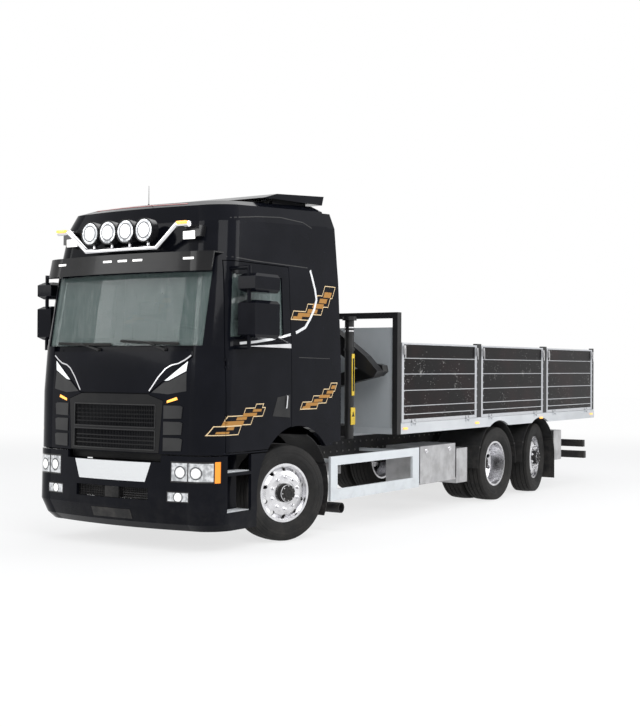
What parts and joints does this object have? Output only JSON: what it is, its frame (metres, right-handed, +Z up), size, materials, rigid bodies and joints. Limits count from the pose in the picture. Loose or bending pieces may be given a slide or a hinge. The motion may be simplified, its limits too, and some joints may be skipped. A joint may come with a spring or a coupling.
{
  "type": "flatbed truck with loader crane",
  "caption": "Dropside platform truck with a sleeper cab, steered front and tag axles and a folded loader crane behind the cab.",
  "frame": {"origin": "centre of the bounding box on the ground", "axes": "+X to the vehicle's left, +Y to the rear, +Z up; the cab faces -Y"},
  "size_m": [3.02, 9.6998, 3.742],
  "materials": {
    "cab_paint": "gloss black",
    "chassis_paint": "satin dark grey",
    "black_plastic": "grained",
    "gloss_black_plastic": "gloss",
    "clear_glass": "clear",
    "lamp_glass": "clear lens over a lamp",
    "tyre_rubber": "worn",
    "wheel_alloy": "polished",
    "stainless": "brushed",
    "bright_steel": "polished tube",
    "light_aluminium": "anodised",
    "gate_board": "black boards in light frames, scratched",
    "crane_paint": "satin black",
    "rod_chrome": "polished",
    "seat_fabric": "woven",
    "engine_iron": "rough"
  },
  "bodies": {
    "chassis": {"chassis_frame": "chassis_paint", "engine_block": "engine_iron", "axles": "chassis_paint", "front_bumper": "cab_paint", "front_lamps": "lamp_glass", "mudguards": "black_plastic", "side_skirts": "light_aluminium", "side_boxes": "stainless", "fuel_tank": "light_aluminium", "platform": "light_aluminium", "headboard": "light_aluminium", "rear_underrun": "chassis_paint", "crane_base": "crane_paint"},
    "cab": {"cab_shell": "cab_paint", "windscreen": "clear_glass", "grille_panel": "gloss_black_plastic", "sun_visor": "gloss_black_plastic", "lamp_bar": "bright_steel", "cab_fairings": "cab_paint", "dashboard": "black_plastic", "steering_wheel": "black_plastic", "seats_and_bunk": "seat_fabric"},
    "lid": {"front_lid": "cab_paint"},
    "left_door": {"door_left": "cab_paint", "door_glass_left": "clear_glass"},
    "right_door": {"door_right": "cab_paint", "door_glass_right": "clear_glass"},
    "boom": {"main_boom": "crane_paint"},
    "lift_cylinder": {"lift_barrel": "crane_paint"},
    "lift_piston": {"lift_rod": "rod_chrome"},
    "jib_arm": {"jib": "crane_paint"},
    "extension": {"jib_extension": "crane_paint"},
    "left_stabiliser": {"stabiliser_left": "crane_paint"},
    "right_stabiliser": {"stabiliser_right": "crane_paint"},
    "left_box_door": {"box_door_left": "stainless"},
    "right_box_door": {"box_door_right": "stainless"},
    "tail_gate": {"tailgate": "gate_board"},
    "front_left_knuckle": {"knuckle_front_left": "chassis_paint"},
    "front_right_knuckle": {"knuckle_front_right": "chassis_paint"},
    "tag_left_knuckle": {"knuckle_tag_left": "chassis_paint"},
    "tag_right_knuckle": {"knuckle_tag_right": "chassis_paint"},
    "front_left_wheel": {"rim_front_left": "wheel_alloy", "tyre_front_left": "tyre_rubber"},
    "front_right_wheel": {"rim_front_right": "wheel_alloy", "tyre_front_right": "tyre_rubber"},
    "tag_left_wheel": {"rim_tag_left": "wheel_alloy", "tyre_tag_left": "tyre_rubber"},
    "tag_right_wheel": {"rim_tag_right": "wheel_alloy", "tyre_tag_right": "tyre_rubber"},
    "drive_left_wheel": {"rim_drive_left": "wheel_alloy", "tyre_drive_left": "tyre_rubber"},
    "drive_right_wheel": {"rim_drive_right": "wheel_alloy", "tyre_drive_right": "tyre_rubber"},
    "left_gate_one": {"gate_left_one": "gate_board"},
    "left_gate_two": {"gate_left_two": "gate_board"},
    "left_gate_three": {"gate_left_three": "gate_board"},
    "right_gate_one": {"gate_right_one": "gate_board"},
    "right_gate_two": {"gate_right_two": "gate_board"},
    "right_gate_three": {"gate_right_three": "gate_board"}
  },
  "joints": [
    {"name": "cab_tilt", "type": "hinge", "parent": "chassis", "child": "cab", "pos_m": [0, -4.78, 0.9], "axis": [1, 0, 0], "range_deg": [0, 60]},
    {"name": "front_lid_hinge", "type": "hinge", "parent": "cab", "child": "lid", "pos_m": [0, -4.64, 2.128], "axis": [-1, 0, 0], "range_deg": [0, 50]},
    {"name": "door_left_hinge", "type": "hinge", "parent": "cab", "child": "left_door", "pos_m": [1.238, -4.525, 1.9], "axis": [0, 0, -1], "range_deg": [0, 75]},
    {"name": "door_right_hinge", "type": "hinge", "parent": "cab", "child": "right_door", "pos_m": [-1.238, -4.525, 1.9], "axis": [0, 0, 1], "range_deg": [0, 75]},
    {"name": "steer_left", "type": "hinge", "parent": "chassis", "child": "front_left_knuckle", "pos_m": [0.93, -3.38, 0.507], "axis": [0, 0, 1], "range_deg": [-22, 58]},
    {"name": "steer_right", "type": "hinge", "parent": "chassis", "child": "front_right_knuckle", "pos_m": [-0.93, -3.38, 0.507], "axis": [0, 0, 1], "range_deg": [-22, 58]},
    {"name": "tag_steer_left", "type": "hinge", "parent": "chassis", "child": "tag_left_knuckle", "pos_m": [0.93, 2.725, 0.507], "axis": [0, 0, 1], "range_deg": [-29.5, 11.5]},
    {"name": "tag_steer_right", "type": "hinge", "parent": "chassis", "child": "tag_right_knuckle", "pos_m": [-0.93, 2.725, 0.507], "axis": [0, 0, 1], "range_deg": [-29.5, 11.5]},
    {"name": "front_left_spin", "type": "hinge", "parent": "front_left_knuckle", "child": "front_left_wheel", "pos_m": [1.03937, -3.41554, 0.507], "axis": [0.9511, -0.309, 0], "continuous": true},
    {"name": "front_right_spin", "type": "hinge", "parent": "front_right_knuckle", "child": "front_right_wheel", "pos_m": [-1.03937, -3.34446, 0.507], "axis": [0.9511, -0.309, 0], "continuous": true},
    {"name": "tag_left_spin", "type": "hinge", "parent": "tag_left_knuckle", "child": "tag_left_wheel", "pos_m": [1.04342, 2.74398, 0.507], "axis": [0.9863, 0.165, 0], "continuous": true},
    {"name": "tag_right_spin", "type": "hinge", "parent": "tag_right_knuckle", "child": "tag_right_wheel", "pos_m": [-1.04342, 2.70602, 0.507], "axis": [0.9863, 0.165, 0], "continuous": true},
    {"name": "drive_left_spin", "type": "hinge", "parent": "chassis", "child": "drive_left_wheel", "pos_m": [0.915, 1.37, 0.507], "axis": [1, 0, 0], "continuous": true},
    {"name": "drive_right_spin", "type": "hinge", "parent": "chassis", "child": "drive_right_wheel", "pos_m": [-0.915, 1.37, 0.507], "axis": [1, 0, 0], "continuous": true},
    {"name": "gate_left_one_hinge", "type": "hinge", "parent": "chassis", "child": "left_gate_one", "pos_m": [1.28, -0.2965, 1.16], "axis": [0, 1, 0], "range_deg": [0, 170]},
    {"name": "gate_left_two_hinge", "type": "hinge", "parent": "chassis", "child": "left_gate_two", "pos_m": [1.28, 1.8125, 1.16], "axis": [0, 1, 0], "range_deg": [0, 170]},
    {"name": "gate_left_three_hinge", "type": "hinge", "parent": "chassis", "child": "left_gate_three", "pos_m": [1.28, 3.8415, 1.16], "axis": [0, 1, 0], "range_deg": [0, 170]},
    {"name": "gate_right_one_hinge", "type": "hinge", "parent": "chassis", "child": "right_gate_one", "pos_m": [-1.28, -0.2965, 1.16], "axis": [0, -1, 0], "range_deg": [0, 170]},
    {"name": "gate_right_two_hinge", "type": "hinge", "parent": "chassis", "child": "right_gate_two", "pos_m": [-1.28, 1.8125, 1.16], "axis": [0, -1, 0], "range_deg": [0, 170]},
    {"name": "gate_right_three_hinge", "type": "hinge", "parent": "chassis", "child": "right_gate_three", "pos_m": [-1.28, 3.8415, 1.16], "axis": [0, -1, 0], "range_deg": [0, 170]},
    {"name": "tailgate_hinge", "type": "hinge", "parent": "chassis", "child": "tail_gate", "pos_m": [0, 4.837, 1.16], "axis": [-1, 0, 0], "range_deg": [0, 170]},
    {"name": "box_door_left_hinge", "type": "hinge", "parent": "chassis", "child": "left_box_door", "pos_m": [1.237, -0.3175, 0.393], "axis": [0, -1, 0], "range_deg": [-100, 0]},
    {"name": "box_door_right_hinge", "type": "hinge", "parent": "chassis", "child": "right_box_door", "pos_m": [-1.237, -0.3175, 0.393], "axis": [0, 1, 0], "range_deg": [-100, 0]},
    {"name": "boom_lift", "type": "hinge", "parent": "chassis", "child": "boom", "pos_m": [-0.15, -1.69, 2.7], "axis": [0, -1, 0], "range_deg": [0, 90]},
    {"name": "lift_cylinder_pivot", "type": "hinge", "parent": "chassis", "child": "lift_cylinder", "pos_m": [0.06, -1.69, 1.35], "axis": [0, -1, 0], "range_deg": [-12, 0.5]},
    {"name": "lift_stroke", "type": "slide", "parent": "lift_cylinder", "child": "lift_piston", "axis": [-0.0412, 0, 0.9992], "range_m": [0, 0.531]},
    {"name": "jib_fold", "type": "hinge", "parent": "boom", "child": "jib_arm", "pos_m": [1.13, -1.69, 1.8], "axis": [0, -1, 0], "range_deg": [0, 50]},
    {"name": "jib_extend", "type": "slide", "parent": "jib_arm", "child": "extension", "axis": [-0.9759, 0, -0.2184], "range_m": [0, 0.9]},
    {"name": "stabiliser_left_slide", "type": "slide", "parent": "chassis", "child": "left_stabiliser", "axis": [1, 0, 0], "range_m": [0, 0.75]},
    {"name": "stabiliser_right_slide", "type": "slide", "parent": "chassis", "child": "right_stabiliser", "axis": [-1, 0, 0], "range_m": [0, 0.75]}
  ],
  "couplings": [
    {"joint": "steer_right", "follows": "steer_left", "ratio": 1},
    {"joint": "tag_steer_left", "follows": "steer_left", "ratio": -0.5},
    {"joint": "tag_steer_right", "follows": "steer_left", "ratio": -0.5},
    {"joint": "lift_cylinder_pivot", "follows": "boom_lift", "ratio": -0.12},
    {"joint": "lift_stroke", "follows": "boom_lift", "m_per_rad": 0.30444},
    {"joint": "jib_fold", "follows": "boom_lift", "ratio": 0.5}
  ]
}
